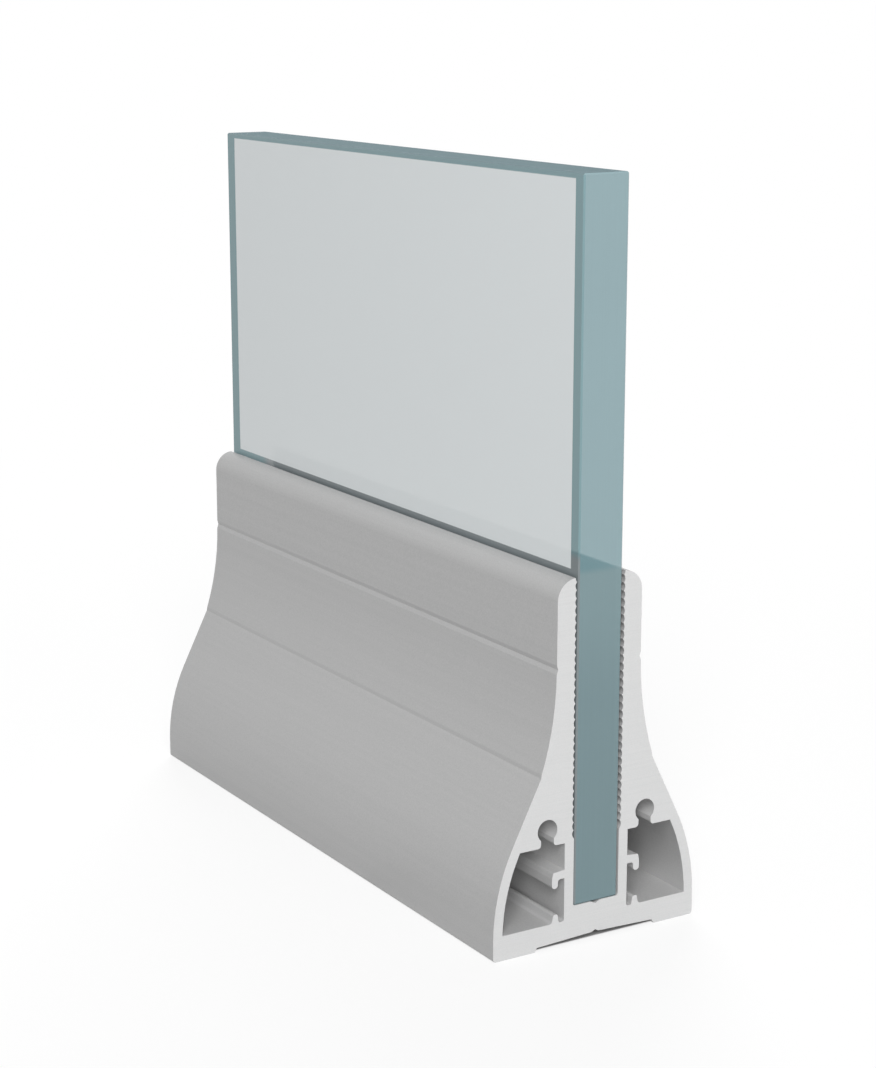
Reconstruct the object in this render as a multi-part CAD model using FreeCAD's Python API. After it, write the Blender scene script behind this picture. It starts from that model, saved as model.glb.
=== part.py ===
"""Base profile of a frameless glass railing, a cut length with a glass pane standing in its channel.

The profile runs along Y and is the same on both sides of the plane x = 0. Its feet stand on z = 0.
Every section is drawn in x and z for the side x > 0 and mirrored. All sizes are in millimetres.
"""
import FreeCAD
import Part
import math
import os

# Overall sizes of the cut length
profile_length = 250.0
base_width = 82.0
profile_height = 127.0

# Glass pane
glass_thickness = 17.52
glass_height = 243.5
glass_arris = 0.5

# Channel for the glass
glass_side_clearance = 0.44
channel_floor_height = 13.45
channel_corner_radius = 0.8
floor_mark_half_width = 1.9
floor_mark_depth = 0.9
floor_mark_rounding = 1.2

# Grooved upper part of the channel walls
groove_setback = 0.2
groove_pitch = 2.75
groove_depth = 0.55
smooth_wall_above_chamber = 1.0

# Upper band of the outside, between the rounded lip and the upper shadow line
flange_thickness = 6.9
lip_fall = 0.55
lip_land = 0.2
band_height = 30.1
upper_line_depth = 0.45
upper_line_rise = 1.5
upper_line_drop = 1.6
upper_line_flare = 0.1

# Hollow flare between the two shadow lines
flare_radius = 108.0
lower_line_height = 60.7
lower_line_rise = 1.3
lower_line_step = 0.2
lower_line_half_width = 22.6

# Lower slope, rounded into the upright side of the foot
slope_length = 24.8
foot_side_height = 7.65
foot_radius = 1.2

# Underside between the feet
foot_width = 16.4
recess_step_run = 0.9
recess_edge_depth = 1.5
recess_centre_depth = 2.35
recess_corner_radius = 0.3
underside_mark_half_width = 1.5
underside_mark_depth = 0.7

# Side chambers
outer_wall = 3.6
web_wall = 3.65
chamber_floor_height = 8.75
chamber_ceiling_height = 36.45
chamber_corner_radius = 0.8

# Round ports for self-tapping screws, open to the chamber below through a neck
port_diameter = 7.8
port_rise = 5.6
port_from_web = 7.02
port_neck_width = 5.1
port_lip_radius = 0.4
port_neck_radius = 1.2

# Hook on the web and the rib below it, which hold a flat joining plate
hook_top_height = 27.1
hook_top_fall = 0.4
hook_thickness = 3.0
hook_finger_length = 6.05
hook_shoulder = 2.5
plate_slot_width = 2.6
hook_finger_width = 2.4
hook_finger_bulge = 0.45
hook_throat_radius = 1.0
hook_tip_flat = 0.1
hook_shoulder_radius = 0.6
rib_height = 3.1
rib_tip_width = 1.75
rib_tip_radius = 0.8
rib_inner_flare = 0.5
rib_outer_flare = 0.6
rib_inner_foot_radius = 0.3
rib_outer_foot_radius = 1.2

# Places that follow from the sizes above
half_base = base_width / 2
half_glass = glass_thickness / 2
half_channel = half_glass + glass_side_clearance
groove_crest = half_channel + groove_setback
groove_valley = groove_crest + groove_depth
groove_radius = ((groove_pitch / 2) ** 2 + groove_depth ** 2) / (2 * groove_depth)
half_band = groove_valley + flange_thickness
upper_line_height = profile_height - band_height
web_face = half_channel + web_wall
port_centre = web_face + port_from_web
port_height = chamber_ceiling_height + port_rise
grooves_end = chamber_ceiling_height + smooth_wall_above_chamber
end_plane = -profile_length / 2
shortest_edge = 1e-6


def sum_of(point, direction, distance):
    """The point that lies the distance away along the direction."""
    return (point[0] + direction[0] * distance, point[1] + direction[1] * distance)


def direction_to(start, end):
    """The unit direction from one point to another."""
    length = math.dist(start, end)
    return ((end[0] - start[0]) / length, (end[1] - start[1]) / length)


def arc_about(centre, radius, start_angle, end_angle):
    """An arc as its first, middle and last points."""
    angles = (start_angle, (start_angle + end_angle) / 2, end_angle)
    return tuple((centre[0] + radius * math.cos(a), centre[1] + radius * math.sin(a)) for a in angles)


def bowed(start, end, radius, side):
    """An arc of the radius from start to end that bows to the left (side 1) or right (side -1)."""
    half_chord = math.dist(start, end) / 2
    bow = radius - math.sqrt(radius ** 2 - half_chord ** 2)
    along = direction_to(start, end)
    middle = sum_of(start, along, half_chord)
    return (start, sum_of(middle, (-along[1], along[0]), side * bow), end)


def rounded_corner(before, corner, after, radius):
    """The arc that rounds a corner between two straight edges."""
    back = direction_to(corner, before)
    ahead = direction_to(corner, after)
    opening = math.acos(max(-1.0, min(1.0, back[0] * ahead[0] + back[1] * ahead[1])))
    reach = radius / math.tan(opening / 2)
    inward = direction_to((0, 0), (back[0] + ahead[0], back[1] + ahead[1]))
    nearest = radius / math.sin(opening / 2) - radius
    return (sum_of(corner, back, reach), sum_of(corner, inward, nearest), sum_of(corner, ahead, reach))


def straight_path(corners):
    """Straight edges through the corners (x, z, radius), with each inner corner rounded by its radius."""
    pieces = []
    here = corners[0][:2]
    for before, corner, after in zip(corners, corners[1:], corners[2:]):
        if corner[2] > 0:
            arc = rounded_corner(before[:2], corner[:2], after[:2], corner[2])
            pieces += [(here, arc[0]), arc]
            here = arc[2]
        else:
            pieces.append((here, corner[:2]))
            here = corner[:2]
    pieces.append((here, corners[-1][:2]))
    return pieces


def mirrored(pieces):
    """The same pieces on the other side of x = 0, so that they carry the path on."""
    return [tuple((-x, z) for x, z in reversed(piece)) for piece in reversed(pieces)]


def closed_wire(pieces):
    """One closed wire in the end plane from lines (two points) and arcs (three points)."""
    edges = []
    for piece in pieces:
        points = [FreeCAD.Vector(x, end_plane, z) for x, z in piece]
        if points[0].distanceToPoint(points[-1]) < shortest_edge:
            continue
        if len(points) == 2:
            edges.append(Part.LineSegment(*points).toShape())
        else:
            edges.append(Part.Arc(*points).toShape())
    return Part.Wire(edges)


def flank_arc():
    """Centre and radius of the flank's round part, and the slope's angle from upright.

    The arc leaves the upright side of the foot and runs into the slope, both without a corner. The slope
    has its own length and ends at the lower shadow line.
    """
    across = half_base - lower_line_half_width
    rise = lower_line_height - foot_side_height
    radius = (across ** 2 + rise ** 2 - slope_length ** 2) / (2 * across)
    slope = math.atan2(rise, radius - across) - math.atan2(slope_length, radius)
    return (half_base - radius, foot_side_height), radius, slope


def flank_point(height, inset):
    """The point of the flank at a height, moved inwards by the inset."""
    centre, outer_radius, slope = flank_arc()
    radius = outer_radius - inset
    if height <= centre[1]:
        return (centre[0] + radius, height)
    slope_start = centre[1] + radius * math.sin(slope)
    if height >= slope_start:
        across = centre[0] + radius * math.cos(slope)
        return (across - (height - slope_start) * math.tan(slope), height)
    return (centre[0] + math.sqrt(radius ** 2 - (height - centre[1]) ** 2), height)


def flank(bottom, top, inset):
    """The flank from one height up to another: upright at the foot, then round, then straight."""
    centre, outer_radius, slope = flank_arc()
    round_top = centre[1] + (outer_radius - inset) * math.sin(slope)
    stops = [bottom] + [z for z in (centre[1], round_top) if bottom < z < top] + [top]
    pieces = []
    for low, high in zip(stops, stops[1:]):
        ends = (flank_point(low, inset), flank_point(high, inset))
        middle = flank_point((low + high) / 2, inset)
        on_arc = centre[1] < (low + high) / 2 < round_top
        pieces.append((ends[0], middle, ends[1]) if on_arc else ends)
    return pieces


def underside():
    """From the centre mark under the profile out to the rounded edge of the foot."""
    foot_inner = half_base - foot_width
    return straight_path([
        (0.0, recess_centre_depth + underside_mark_depth),
        (underside_mark_half_width, recess_centre_depth, 0),
        (foot_inner - recess_step_run, recess_edge_depth, recess_corner_radius),
        (foot_inner, 0.0, recess_corner_radius),
        (half_base, 0.0, foot_radius),
        (half_base, foot_radius),
    ])


def shadow_lines_and_flare():
    """From the top of the slope over the lower line, the flare and the upper line to the band."""
    slope_top = (lower_line_half_width, lower_line_height)
    flare_low = (lower_line_half_width - lower_line_step, lower_line_height + lower_line_rise)
    flare_high = (half_band + upper_line_flare, upper_line_height - upper_line_drop)
    line_bottom = (half_band - upper_line_depth, upper_line_height)
    band_low = (half_band, upper_line_height + upper_line_rise)
    return [
        (slope_top, flare_low),
        bowed(flare_low, flare_high, flare_radius, 1),
        (flare_high, line_bottom),
        (line_bottom, band_low),
    ]


def band_and_lip():
    """Up the band and over the rounded top, which falls a little outwards, to the land at the channel."""
    fall_angle = math.atan2(lip_fall, flange_thickness)
    lip_radius = (flange_thickness - lip_land) * math.tan((math.pi / 2 + fall_angle) / 2)
    return straight_path([
        (half_band, upper_line_height + upper_line_rise),
        (half_band, profile_height - lip_fall, lip_radius),
        (groove_valley, profile_height),
    ])


def lowest_groove_crest():
    """Height of the lowest crest. The grooves are counted down from the half groove at the lip."""
    first = profile_height - groove_pitch / 2
    return first - groove_pitch * math.floor((first - grooves_end) / groove_pitch)


def grooves():
    """The half groove that opens at the lip and the whole grooves below it, down to the smooth wall."""
    centre_x = groove_valley - groove_radius
    crest = profile_height - groove_pitch / 2
    crest_angle = math.asin(groove_pitch / 2 / groove_radius)
    pieces = [arc_about((centre_x, profile_height), groove_radius, 0.0, -crest_angle)]
    while crest > lowest_groove_crest() + shortest_edge:
        centre = (centre_x, crest - groove_pitch / 2)
        pieces.append(arc_about(centre, groove_radius, crest_angle, -crest_angle))
        crest -= groove_pitch
    return pieces


def channel_floor():
    """From the lowest crest down the smooth wall and across to the mark on the floor's centre line."""
    return straight_path([
        (groove_crest, lowest_groove_crest()),
        (groove_crest, grooves_end, 0),
        (half_channel, grooves_end - groove_setback, 0),
        (half_channel, channel_floor_height, channel_corner_radius),
        (floor_mark_half_width, channel_floor_height, floor_mark_rounding),
        (0.0, channel_floor_height - floor_mark_depth),
    ])


def outside_wire():
    """The whole outer outline, feet, flanks, lips and channel."""
    half = underside()
    half += flank(foot_radius, lower_line_height, 0.0)
    half += shadow_lines_and_flare()
    half += band_and_lip()
    half += grooves()
    half += channel_floor()
    return closed_wire(half + mirrored(half))


def plate_rib():
    """Across the chamber floor from the web, over the rib that keeps the joining plate in."""
    floor = chamber_floor_height
    inner = web_face + plate_slot_width
    tip = floor + rib_height
    return straight_path([
        (web_face, floor + chamber_corner_radius),
        (web_face, floor, chamber_corner_radius),
        (inner - rib_inner_flare, floor, rib_inner_foot_radius),
        (inner, tip, rib_tip_radius),
        (inner + rib_tip_width, tip, rib_tip_radius),
        (inner + rib_tip_width + rib_outer_flare, floor, rib_outer_foot_radius),
        flank_point(floor, outer_wall),
    ])


def screw_port():
    """Up the outer side of the neck, round the port and down the other side, by the lips' tangents."""
    neck = port_neck_width / 2
    radius = port_diameter / 2
    lip_x = neck + port_lip_radius
    lip_drop = math.sqrt((radius + port_lip_radius) ** 2 - lip_x ** 2)
    lip_angle = math.atan2(lip_drop, lip_x)
    centre = (port_centre, port_height)
    outer_lip = (port_centre + lip_x, port_height - lip_drop)
    inner_lip = (port_centre - lip_x, port_height - lip_drop)
    return [
        arc_about(outer_lip, port_lip_radius, math.pi, math.pi - lip_angle),
        arc_about(centre, radius, -lip_angle, math.pi + lip_angle),
        arc_about(inner_lip, port_lip_radius, lip_angle, 0.0),
    ]


def chamber_ceiling():
    """From the outer wall along the ceiling, through the port and on to the web."""
    ceiling = chamber_ceiling_height
    neck_outer = port_centre + port_neck_width / 2
    neck_inner = port_centre - port_neck_width / 2
    port = screw_port()
    outer = straight_path([
        flank_point(ceiling, outer_wall),
        (neck_outer, ceiling, port_neck_radius),
        port[0][0],
    ])
    inner = straight_path([
        port[-1][-1],
        (neck_inner, ceiling, port_neck_radius),
        (web_face, ceiling),
    ])
    return outer + port + inner


def plate_hook():
    """Down the web and round the hook that points at the rib."""
    finger_in = web_face + plate_slot_width
    finger_out = finger_in + hook_finger_width
    under = hook_top_height - hook_thickness
    tip = hook_top_height - hook_finger_length
    tip_radius = (hook_finger_width - hook_tip_flat) / 2
    return straight_path([
        (web_face, chamber_ceiling_height),
        (web_face, hook_top_height, 0),
        (finger_out - hook_finger_bulge, hook_top_height - hook_top_fall, hook_shoulder_radius),
        (finger_out, hook_top_height - hook_shoulder, 0),
        (finger_out, tip, tip_radius),
        (finger_in, tip, tip_radius),
        (finger_in, under, hook_throat_radius),
        (web_face, under, 0),
        (web_face, chamber_floor_height + chamber_corner_radius),
    ])


def chamber_pieces():
    """The outline of the chamber on the side x > 0."""
    pieces = plate_rib()
    pieces += flank(chamber_floor_height, chamber_ceiling_height, outer_wall)
    pieces += chamber_ceiling()
    pieces += plate_hook()
    return pieces


def base_profile():
    """The extrusion: one section with two chambers, pushed along its length."""
    chamber = chamber_pieces()
    wires = [outside_wire(), closed_wire(chamber), closed_wire(mirrored(chamber))]
    section = Part.makeFace(wires, "Part::FaceMakerBullseye")
    return section.extrude(FreeCAD.Vector(0, profile_length, 0))


def glass_panel():
    """The pane on the channel floor, flush with both ends, with an arris round both faces."""
    corner = FreeCAD.Vector(-half_glass, end_plane, channel_floor_height)
    pane = Part.makeBox(glass_thickness, profile_length, glass_height, corner)
    face_edges = []
    for edge in pane.Edges:
        if all(abs(abs(vertex.X) - half_glass) < shortest_edge for vertex in edge.Vertexes):
            face_edges.append(edge)
    return pane.makeChamfer(glass_arris, face_edges)


def main():
    os.makedirs("parts", exist_ok=True)
    nodes = {"base_profile": base_profile(), "glass_panel": glass_panel()}
    for name, shape in nodes.items():
        solid = shape.Solids[0]
        solid.exportStep("parts/" + name + ".step")
        print(name, "solids", len(shape.Solids), "valid", solid.isValid(), "volume", round(solid.Volume))


main()
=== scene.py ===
"""Looks of a glass railing's base profile and its pane: finishes, floor, light and camera. Metres."""
import math

import bpy
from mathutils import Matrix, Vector


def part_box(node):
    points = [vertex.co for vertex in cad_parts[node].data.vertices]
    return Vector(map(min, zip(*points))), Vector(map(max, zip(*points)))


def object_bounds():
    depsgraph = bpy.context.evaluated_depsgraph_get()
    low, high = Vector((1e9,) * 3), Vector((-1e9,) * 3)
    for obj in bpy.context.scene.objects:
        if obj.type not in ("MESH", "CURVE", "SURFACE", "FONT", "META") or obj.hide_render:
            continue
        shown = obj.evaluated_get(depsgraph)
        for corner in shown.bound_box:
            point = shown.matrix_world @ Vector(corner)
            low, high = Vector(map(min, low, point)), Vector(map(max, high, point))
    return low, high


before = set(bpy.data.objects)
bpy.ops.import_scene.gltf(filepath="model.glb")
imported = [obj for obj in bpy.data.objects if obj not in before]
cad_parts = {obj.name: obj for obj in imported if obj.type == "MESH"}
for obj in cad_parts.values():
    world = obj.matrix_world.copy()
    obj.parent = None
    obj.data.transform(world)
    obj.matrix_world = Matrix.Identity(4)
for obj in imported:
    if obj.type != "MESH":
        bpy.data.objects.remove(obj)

cad_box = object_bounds()
millimetre = 0.001
profile_low, profile_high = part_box("base_profile")
pane_low, pane_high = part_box("glass_panel")

# Photograph and camera
photo_long_side = 1068
focal_pixels = 2317.9
sensor_side = 36.0
nearest_seen = 0.01
camera_place = Vector((-0.42787, -0.72322, 0.31208))
camera_forward = Vector((0.50774, 0.83084, -0.22781))

# Light from all round, and how bright the background shows: 1 is white
ambient_level = 0.20
background_level = 1.0

# Greys of the floor where it shows, under the object, where it is painted darker as shade, and where it only
# bounces light
floor_reach = 6.0
floor_grey_lit = 0.95
floor_grey_painted_shade = 0.5
floor_grey_bounce = 0.42

# Share of plain white in the floor, which grows with the distance from the object
white_share_near, white_share_far = 0.76, 1.0
white_growth_start, white_growth_end = 0.16, 0.8

# A surface starts to count as facing an axis at the first value of its normal there, and fully at the second
facing_start, facing_full = 0.85, 0.97


def add(tree, kind, inputs=None, **settings):
    """A new node with its settings, each input linked to a socket or set to a value."""
    made = tree.nodes.new(kind)
    for name, value in settings.items():
        setattr(made, name, value)
    for name, value in (inputs or {}).items():
        if isinstance(value, bpy.types.NodeSocket):
            tree.links.new(value, made.inputs[name])
        else:
            made.inputs[name].default_value = value
    return made


def maths(tree, operation, first, second=0.0, clamp=False):
    """The result of one operation on sockets or numbers."""
    inputs = {0: first, 1: second}
    return add(tree, "ShaderNodeMath", inputs, operation=operation, use_clamp=clamp).outputs[0]


def product(tree, first, *others):
    """All the given sockets and numbers multiplied."""
    for other in others:
        first = maths(tree, "MULTIPLY", first, other)
    return first


def weighted_sum(tree, *parts):
    """The sum of sockets, each times its weight."""
    total = 0.0
    for socket, weight in parts:
        total = maths(tree, "ADD", total, product(tree, socket, weight))
    return total


def split(tree, vector):
    """The X, Y and Z of a vector."""
    return add(tree, "ShaderNodeSeparateXYZ", {0: vector}).outputs


def ramp_between(tree, value, start, end, low=0.0, high=1.0):
    """Goes smoothly from low to high as the value goes from start to end."""
    inputs = {"Value": value, "From Min": start, "From Max": end, "To Min": low, "To Max": high}
    return add(tree, "ShaderNodeMapRange", inputs, interpolation_type="SMOOTHSTEP").outputs["Result"]


def within(tree, value, low, high, blur):
    """1 between low and high, 0 outside, with an edge as wide as the blur."""
    above = ramp_between(tree, value, low - blur / 2, low + blur / 2)
    below = ramp_between(tree, value, high - blur / 2, high + blur / 2, 1.0, 0.0)
    return product(tree, above, below)


def stretched_noise(tree, place, grain_size, turn=0.0, detail=2.0):
    """Noise whose grains have the given sizes along X, Y and Z, turned about Y."""
    scale = [1.0 / size for size in grain_size]
    mapped = add(tree, "ShaderNodeMapping", {"Vector": place, "Rotation": (0.0, turn, 0.0), "Scale": scale})
    noise = add(tree, "ShaderNodeTexNoise", {"Vector": mapped.outputs[0], "Scale": 1.0, "Detail": detail})
    return noise.outputs["Fac"]


def mixed_colour(tree, share, first, second):
    """The first colour where the share is 0 and the second where it is 1."""
    return add(tree, "ShaderNodeMix", {0: share, 6: first, 7: second}, data_type="RGBA").outputs[2]


def mixed_value(tree, share, first, second):
    """The first number where the share is 0 and the second where it is 1."""
    inputs = {"Value": share, "To Min": first, "To Max": second}
    return add(tree, "ShaderNodeMapRange", inputs).outputs["Result"]


def grey(value):
    """A colour with the same red, green and blue."""
    return (value, value, value, 1.0)


def new_material(name):
    """A node material with its Principled shader, and the places and facing of its surface."""
    material = bpy.data.materials.new(name)
    material.use_nodes = True
    tree = material.node_tree
    shader = tree.nodes["Principled BSDF"]
    place = add(tree, "ShaderNodeTexCoord").outputs["Object"]
    facing = split(tree, add(tree, "ShaderNodeNewGeometry").outputs["Normal"])
    return material, tree, shader, place, facing


def along_axis(tree, facing, axis):
    """How far a surface faces along an axis, either way: 1 straight on, 0 edge on."""
    return maths(tree, "ABSOLUTE", facing[axis])


def inside_walls(tree, spot):
    """1 inside the lower part of the section, within an arc along the middle of its round outer wall."""
    arc_centre_x, arc_centre_z = -28.0 * millimetre, 7.7 * millimetre
    arc_radius = 67.2 * millimetre
    lowest, highest, blur = 5 * millimetre, 47 * millimetre, 1 * millimetre
    out = maths(tree, "SUBTRACT", maths(tree, "ABSOLUTE", spot["X"]), arc_centre_x)
    up = maths(tree, "SUBTRACT", spot["Z"], arc_centre_z)
    reach = maths(tree, "SQRT", maths(tree, "ADD", product(tree, out, out), product(tree, up, up)))
    within_arc = maths(tree, "LESS_THAN", reach, arc_radius)
    return product(tree, within_arc, within(tree, spot["Z"], lowest, highest, blur))


def lower_line_shade(tree, spot):
    """How much the flank is shaded along its lower line."""
    line_low, line_high, blur = 60.5 * millimetre, 62.2 * millimetre, 0.6 * millimetre
    darkest = 0.055
    return product(tree, within(tree, spot["Z"], line_low, line_high, blur), darkest)


def side_and_end_marks(tree, place):
    """Blasted grain with die lines for the sides, and with saw lines for the cut ends."""
    broad_line_size = (1.6 * millimetre, 350 * millimetre, 1.6 * millimetre)
    fine_line_size = (0.22 * millimetre, 60 * millimetre, 0.22 * millimetre)
    grain_size = (0.45 * millimetre, 0.45 * millimetre, 0.45 * millimetre)
    grain_detail = 3.0
    saw_line_size = (35 * millimetre, 10 * millimetre, 0.30 * millimetre)
    saw_turn = math.radians(14)
    side_broad, side_fine, side_grain = 0.15, 0.15, 0.7
    end_saw, end_grain = 0.4, 0.6
    broad_lines = stretched_noise(tree, place, broad_line_size)
    fine_lines = stretched_noise(tree, place, fine_line_size)
    grain = stretched_noise(tree, place, grain_size, detail=grain_detail)
    saw_lines = stretched_noise(tree, place, saw_line_size, turn=saw_turn)
    side_mark = weighted_sum(tree, (broad_lines, side_broad), (fine_lines, side_fine), (grain, side_grain))
    end_mark = weighted_sum(tree, (saw_lines, end_saw), (grain, end_grain))
    return side_mark, end_mark


def anodised_aluminium():
    """Satin anodised with faint die lines, with painted light that makes the chamber walls paler, and
    brighter and sawn on the cut ends.
    """
    side_dark, side_light = (0.412, 0.412, 0.413, 1.0), (0.462, 0.462, 0.461, 1.0)
    # Painted light: paler greys for the chamber walls, standing in for light that does not reach into the
    # chambers
    painted_light_inner_dark, painted_light_inner_light = grey(0.50), grey(0.55)
    end_dark, end_light = (0.625, 0.63, 0.63, 1.0), grey(0.665)
    shade_colour = grey(0.1)
    mark_low, mark_high = 0.3, 0.7
    side_rough_dark, side_rough_light = 0.50, 0.40
    end_rough_dark, end_rough_light = 0.46, 0.32
    bump_strength, bump_depth = 0.35, 0.03 * millimetre
    metallic = 0.15
    material, tree, shader, place, facing = new_material("anodised_aluminium")
    spot = split(tree, place)
    on_end = ramp_between(tree, along_axis(tree, facing, "Y"), facing_start, facing_full)
    side_mark, end_mark = side_and_end_marks(tree, place)
    side_share = ramp_between(tree, side_mark, mark_low, mark_high)
    end_share = ramp_between(tree, end_mark, mark_low, mark_high)

    outer_colour = mixed_colour(tree, side_share, side_dark, side_light)
    # Painted light: inside the arc the chamber walls take the paler greys
    painted_light_inner_colour = mixed_colour(tree, side_share, painted_light_inner_dark, painted_light_inner_light)
    side_colour = mixed_colour(tree, inside_walls(tree, spot), outer_colour, painted_light_inner_colour)
    side_colour = mixed_colour(tree, lower_line_shade(tree, spot), side_colour, shade_colour)
    end_colour = mixed_colour(tree, end_share, end_dark, end_light)
    colour = mixed_colour(tree, on_end, side_colour, end_colour)
    tree.links.new(colour, shader.inputs["Base Color"])

    side_rough = mixed_value(tree, side_share, side_rough_dark, side_rough_light)
    end_rough = mixed_value(tree, end_share, end_rough_dark, end_rough_light)
    tree.links.new(mixed_value(tree, on_end, side_rough, end_rough), shader.inputs["Roughness"])

    height = mixed_value(tree, on_end, side_mark, end_mark)
    bump = add(tree, "ShaderNodeBump", {"Strength": bump_strength, "Distance": bump_depth, "Height": height})
    tree.links.new(bump.outputs[0], shader.inputs["Normal"])
    shader.inputs["Metallic"].default_value = metallic
    return material


def pane_field(tree, spot, on_face):
    """1 on the pale field inside the border of both faces."""
    near_border, far_border = 4.6 * millimetre, 6.5 * millimetre
    top_border, lip_border = 1.8 * millimetre, 2.0 * millimetre
    blur = 0.35 * millimetre
    along = within(tree, spot["Y"], pane_low.y + near_border, pane_high.y - far_border, blur)
    up = within(tree, spot["Z"], profile_high.z + lip_border, pane_high.z - top_border, blur)
    return product(tree, on_face, along, up)


def pane_end_colour(tree, spot):
    """Grey-green on the pane's ends, a little greyer inside the channel, with painted light that lightens it
    towards the channel's mouth.
    """
    end_colour = (0.180, 0.295, 0.323, 1.0)
    channel_low_colour, channel_mouth_painted_light = (0.207, 0.293, 0.314, 1.0), (0.235, 0.33, 0.35, 1.0)
    mouth_reach, mouth_blur = 45 * millimetre, 3 * millimetre
    near_mouth = ramp_between(tree, spot["Z"], profile_high.z - mouth_reach, profile_high.z)
    above_mouth = ramp_between(tree, spot["Z"], profile_high.z, profile_high.z + mouth_blur)
    # Painted light: inside the channel the end lightens towards the mouth, as if light reached the walls
    # seen through the pane
    channel_painted_light_colour = mixed_colour(tree, near_mouth, channel_low_colour, channel_mouth_painted_light)
    return mixed_colour(tree, above_mouth, channel_painted_light_colour, end_colour)


def pane_border_colour(tree, spot, upward):
    """Grey-green round the faces, greyer just over the lip except at the far end as painted shade of the
    channel seen through, and darker on the arris as painted shade.
    """
    border_colour, lip_painted_shade_colour = (0.133, 0.25, 0.273, 1.0), (0.22, 0.25, 0.26, 1.0)
    arris_painted_shade_colour = (0.10, 0.19, 0.21, 1.0)
    lip_fade_low, lip_fade_high = 5 * millimetre, 9 * millimetre
    far_fade_start, far_fade_end = 33 * millimetre, 25 * millimetre
    arris_start, arris_full = 0.5, 0.6
    over_lip = ramp_between(tree, spot["Z"], profile_high.z + lip_fade_low, profile_high.z + lip_fade_high)
    at_far_end = ramp_between(tree, spot["Y"], pane_high.y - far_fade_start, pane_high.y - far_fade_end)
    on_arris = ramp_between(tree, upward, arris_start, arris_full)
    # Painted shade: greyer just over the lip for the shaded channel seen through the pane, except near the
    # far end
    colour = mixed_colour(tree, maths(tree, "MAXIMUM", over_lip, at_far_end), lip_painted_shade_colour, border_colour)
    # Painted shade: the arris is darker where light from above would brighten it
    return mixed_colour(tree, on_arris, colour, arris_painted_shade_colour)


def tinted_glass():
    """Pane with a pale field on both faces and a grey-green border, ends and top, the top darker with
    painted shade, seen from outside only.
    """
    field_colour, top_painted_shade_colour = (0.705, 0.742, 0.752, 1.0), (0.05, 0.12, 0.14, 1.0)
    face_start, face_full = 0.55, 0.65
    cloud_size = (60 * millimetre, 60 * millimetre, 60 * millimetre)
    polish_size = (0.4 * millimetre, 0.4 * millimetre, 50 * millimetre)
    cloud_weight, polish_weight = 0.6, 0.4
    darkest, lightest = 0.93, 1.07
    end_roughness, face_roughness, cloud_roughness = 0.45, 0.08, 0.03
    end_alpha, border_alpha, field_alpha, top_extra_alpha = 0.87, 0.91, 0.97, 0.10
    refraction, specular_level = 1.5, 0.12
    material, tree, shader, place, facing = new_material("tinted_glass")
    spot = split(tree, place)
    upward = along_axis(tree, facing, "Z")
    on_top = ramp_between(tree, upward, facing_start, facing_full)
    on_face = ramp_between(tree, along_axis(tree, facing, "X"), face_start, face_full)
    field = pane_field(tree, spot, on_face)
    clouds = stretched_noise(tree, place, cloud_size)
    polish = stretched_noise(tree, place, polish_size)

    # Painted shade: the top face gets a darker grey-green than the ends
    cut_colour = mixed_colour(tree, on_top, pane_end_colour(tree, spot), top_painted_shade_colour)
    edge_colour = mixed_colour(tree, on_face, cut_colour, pane_border_colour(tree, spot, upward))
    marks = weighted_sum(tree, (clouds, cloud_weight), (polish, polish_weight))
    shade = mixed_value(tree, marks, darkest, lightest)
    shaded = add(tree, "ShaderNodeVectorMath", {0: edge_colour, "Scale": shade}, operation="SCALE")
    colour = mixed_colour(tree, field, shaded.outputs[0], field_colour)
    tree.links.new(colour, shader.inputs["Base Color"])

    roughness = mixed_value(tree, on_face, end_roughness, face_roughness)
    roughness = maths(tree, "ADD", roughness, product(tree, clouds, cloud_roughness))
    tree.links.new(roughness, shader.inputs["Roughness"])

    edge_alpha = mixed_value(tree, on_face, end_alpha, border_alpha)
    edge_alpha = maths(tree, "ADD", edge_alpha, product(tree, on_top, top_extra_alpha))
    from_inside = add(tree, "ShaderNodeNewGeometry").outputs["Backfacing"]
    from_outside = maths(tree, "SUBTRACT", 1.0, from_inside)
    alpha = product(tree, mixed_value(tree, field, edge_alpha, field_alpha), from_outside)
    tree.links.new(alpha, shader.inputs["Alpha"])
    shader.inputs["IOR"].default_value = refraction
    shader.inputs["Specular IOR Level"].default_value = specular_level
    return material


def shown_rays(tree):
    """1 for rays that show the background: from the camera, in a gloss or through glass."""
    path = add(tree, "ShaderNodeLightPath")
    camera_or_gloss = maths(tree, "ADD", path.outputs["Is Camera Ray"], path.outputs["Is Glossy Ray"])
    return maths(tree, "ADD", camera_or_gloss, path.outputs["Is Transmission Ray"], clamp=True)


def make_world():
    """Even light all round, white wherever it shows."""
    world = bpy.data.worlds.new("studio")
    world.use_nodes = True
    tree = world.node_tree
    level = mixed_value(tree, shown_rays(tree), ambient_level, background_level)
    background = tree.nodes["Background"]
    background.inputs["Color"].default_value = grey(1.0)
    tree.links.new(level, background.inputs["Strength"])
    bpy.context.scene.world = world


def under_object(tree, spot):
    """1 on the floor under the object, from a short way inside its outline."""
    side_inset, side_blur = 2.0 * millimetre, 3.0 * millimetre
    end_inset, end_blur = 1.8 * millimetre, 1.2 * millimetre
    across = within(tree, spot["X"], profile_low.x + side_inset, profile_high.x - side_inset, side_blur)
    along = within(tree, spot["Y"], profile_low.y + end_inset, profile_high.y - end_inset, end_blur)
    return product(tree, across, along)


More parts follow.
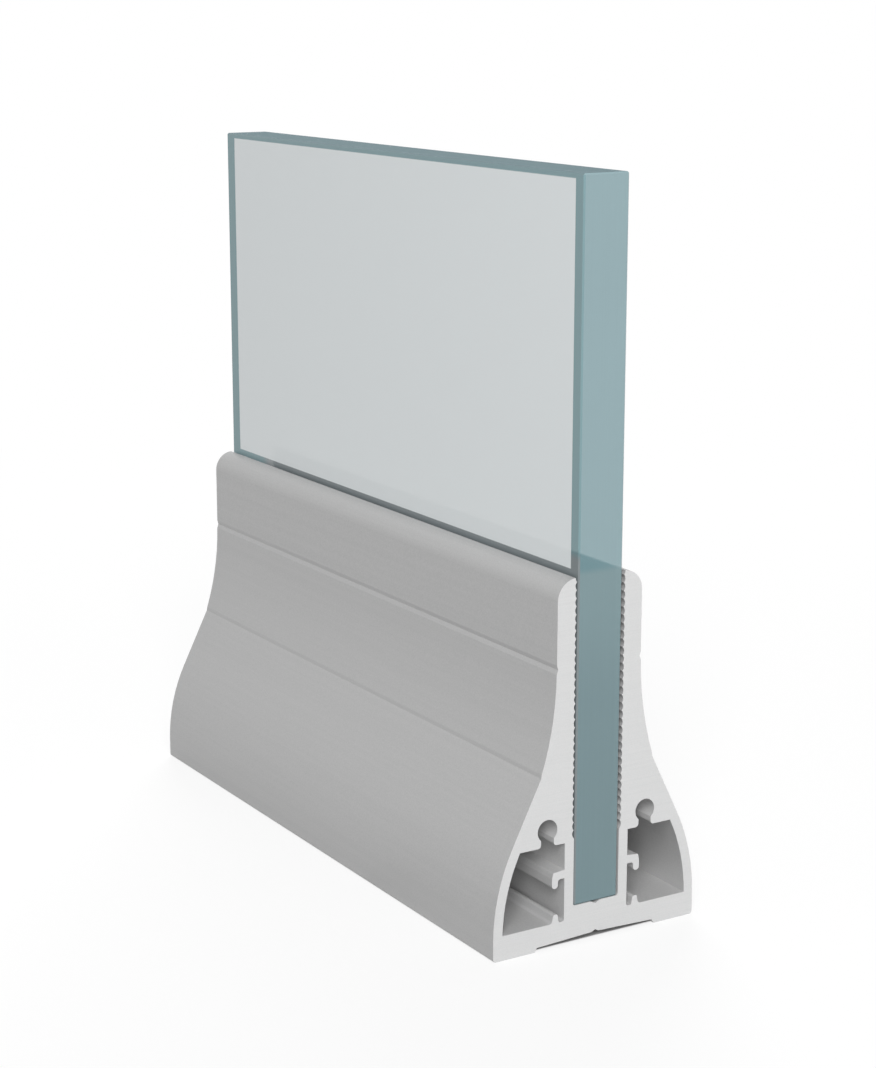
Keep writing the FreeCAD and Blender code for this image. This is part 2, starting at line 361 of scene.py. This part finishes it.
def floor_material():
    """Nearly white where it shows, with a soft shadow, painted shade under the object, and darker for
    bounced light.
    """
    material = bpy.data.materials.new("floor")
    material.use_nodes = True
    tree = material.node_tree
    tree.nodes.remove(tree.nodes["Principled BSDF"])
    place = add(tree, "ShaderNodeTexCoord").outputs["Object"]
    distance = add(tree, "ShaderNodeVectorMath", {0: place}, operation="LENGTH").outputs["Value"]
    shown = shown_rays(tree)
    beside = maths(tree, "SUBTRACT", 1.0, under_object(tree, split(tree, place)))
    # Painted shade: the floor shows a darker grey under the object
    shown_colour = mixed_colour(tree, beside, grey(floor_grey_painted_shade), grey(floor_grey_lit))
    colour = mixed_colour(tree, shown, grey(floor_grey_bounce), shown_colour)
    lit = add(tree, "ShaderNodeBsdfDiffuse", {"Color": colour})
    white = add(tree, "ShaderNodeEmission", {"Color": grey(1.0), "Strength": 1.0})
    white_share = ramp_between(
        tree, distance, white_growth_start, white_growth_end, white_share_near, white_share_far)
    share = product(tree, shown, white_share, beside)
    mix = add(tree, "ShaderNodeMixShader", {0: share, 1: lit.outputs[0], 2: white.outputs[0]})
    tree.links.new(mix.outputs[0], tree.nodes["Material Output"].inputs["Surface"])
    return material


def make_floor():
    """Plain square floor that the object stands on."""
    signs = ((-1, -1), (1, -1), (1, 1), (-1, 1))
    corners = [(x * floor_reach, y * floor_reach, 0.0) for x, y in signs]
    mesh = bpy.data.meshes.new("floor")
    mesh.from_pydata(corners, [], [(0, 1, 2, 3)])
    mesh.materials.append(floor_material())
    floor = bpy.data.objects.new("floor", mesh)
    bpy.context.scene.collection.objects.link(floor)


def make_lamp(name, place, width, watts, glossy=True):
    """A square soft lamp that points at the middle of the object, and may stay out of glossy reflections."""
    data = bpy.data.lights.new(name, "AREA")
    data.size = width
    data.energy = watts
    lamp = bpy.data.objects.new(name, data)
    lamp.visible_glossy = glossy
    target = (cad_box[0] + cad_box[1]) / 2
    lamp.location = place
    lamp.rotation_euler = (target - Vector(place)).to_track_quat("-Z", "Y").to_euler()
    bpy.context.scene.collection.objects.link(lamp)


def make_camera():
    """The camera where the photograph was taken from."""
    data = bpy.data.cameras.new("camera")
    data.sensor_width = sensor_side
    data.lens = focal_pixels * sensor_side / photo_long_side
    data.clip_start = nearest_seen
    camera = bpy.data.objects.new("camera", data)
    camera.location = camera_place
    camera.rotation_euler = camera_forward.to_track_quat("-Z", "Y").to_euler()
    bpy.context.scene.collection.objects.link(camera)
    bpy.context.scene.camera = camera


def dress(node, material):
    """Gives a CAD node its finish."""
    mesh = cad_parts[node].data
    mesh.materials.clear()
    mesh.materials.append(material)


dress("base_profile", anodised_aluminium())
dress("glass_panel", tinted_glass())
make_world()
make_floor()
make_lamp("front_low", place=(-1.52, -2.5, 0.82), width=1.4, watts=40.0, glossy=False)
make_lamp("front_high", place=(-1.17, -2.02, 2.08), width=1.4, watts=60.0, glossy=False)
make_lamp("top", place=(-0.5, -0.2, 1.9), width=1.4, watts=3.0)
make_lamp("back", place=(1.0, 1.6, 1.0), width=1.2, watts=29.0, glossy=False)
make_camera()
bpy.context.scene.view_settings.view_transform = "Standard"
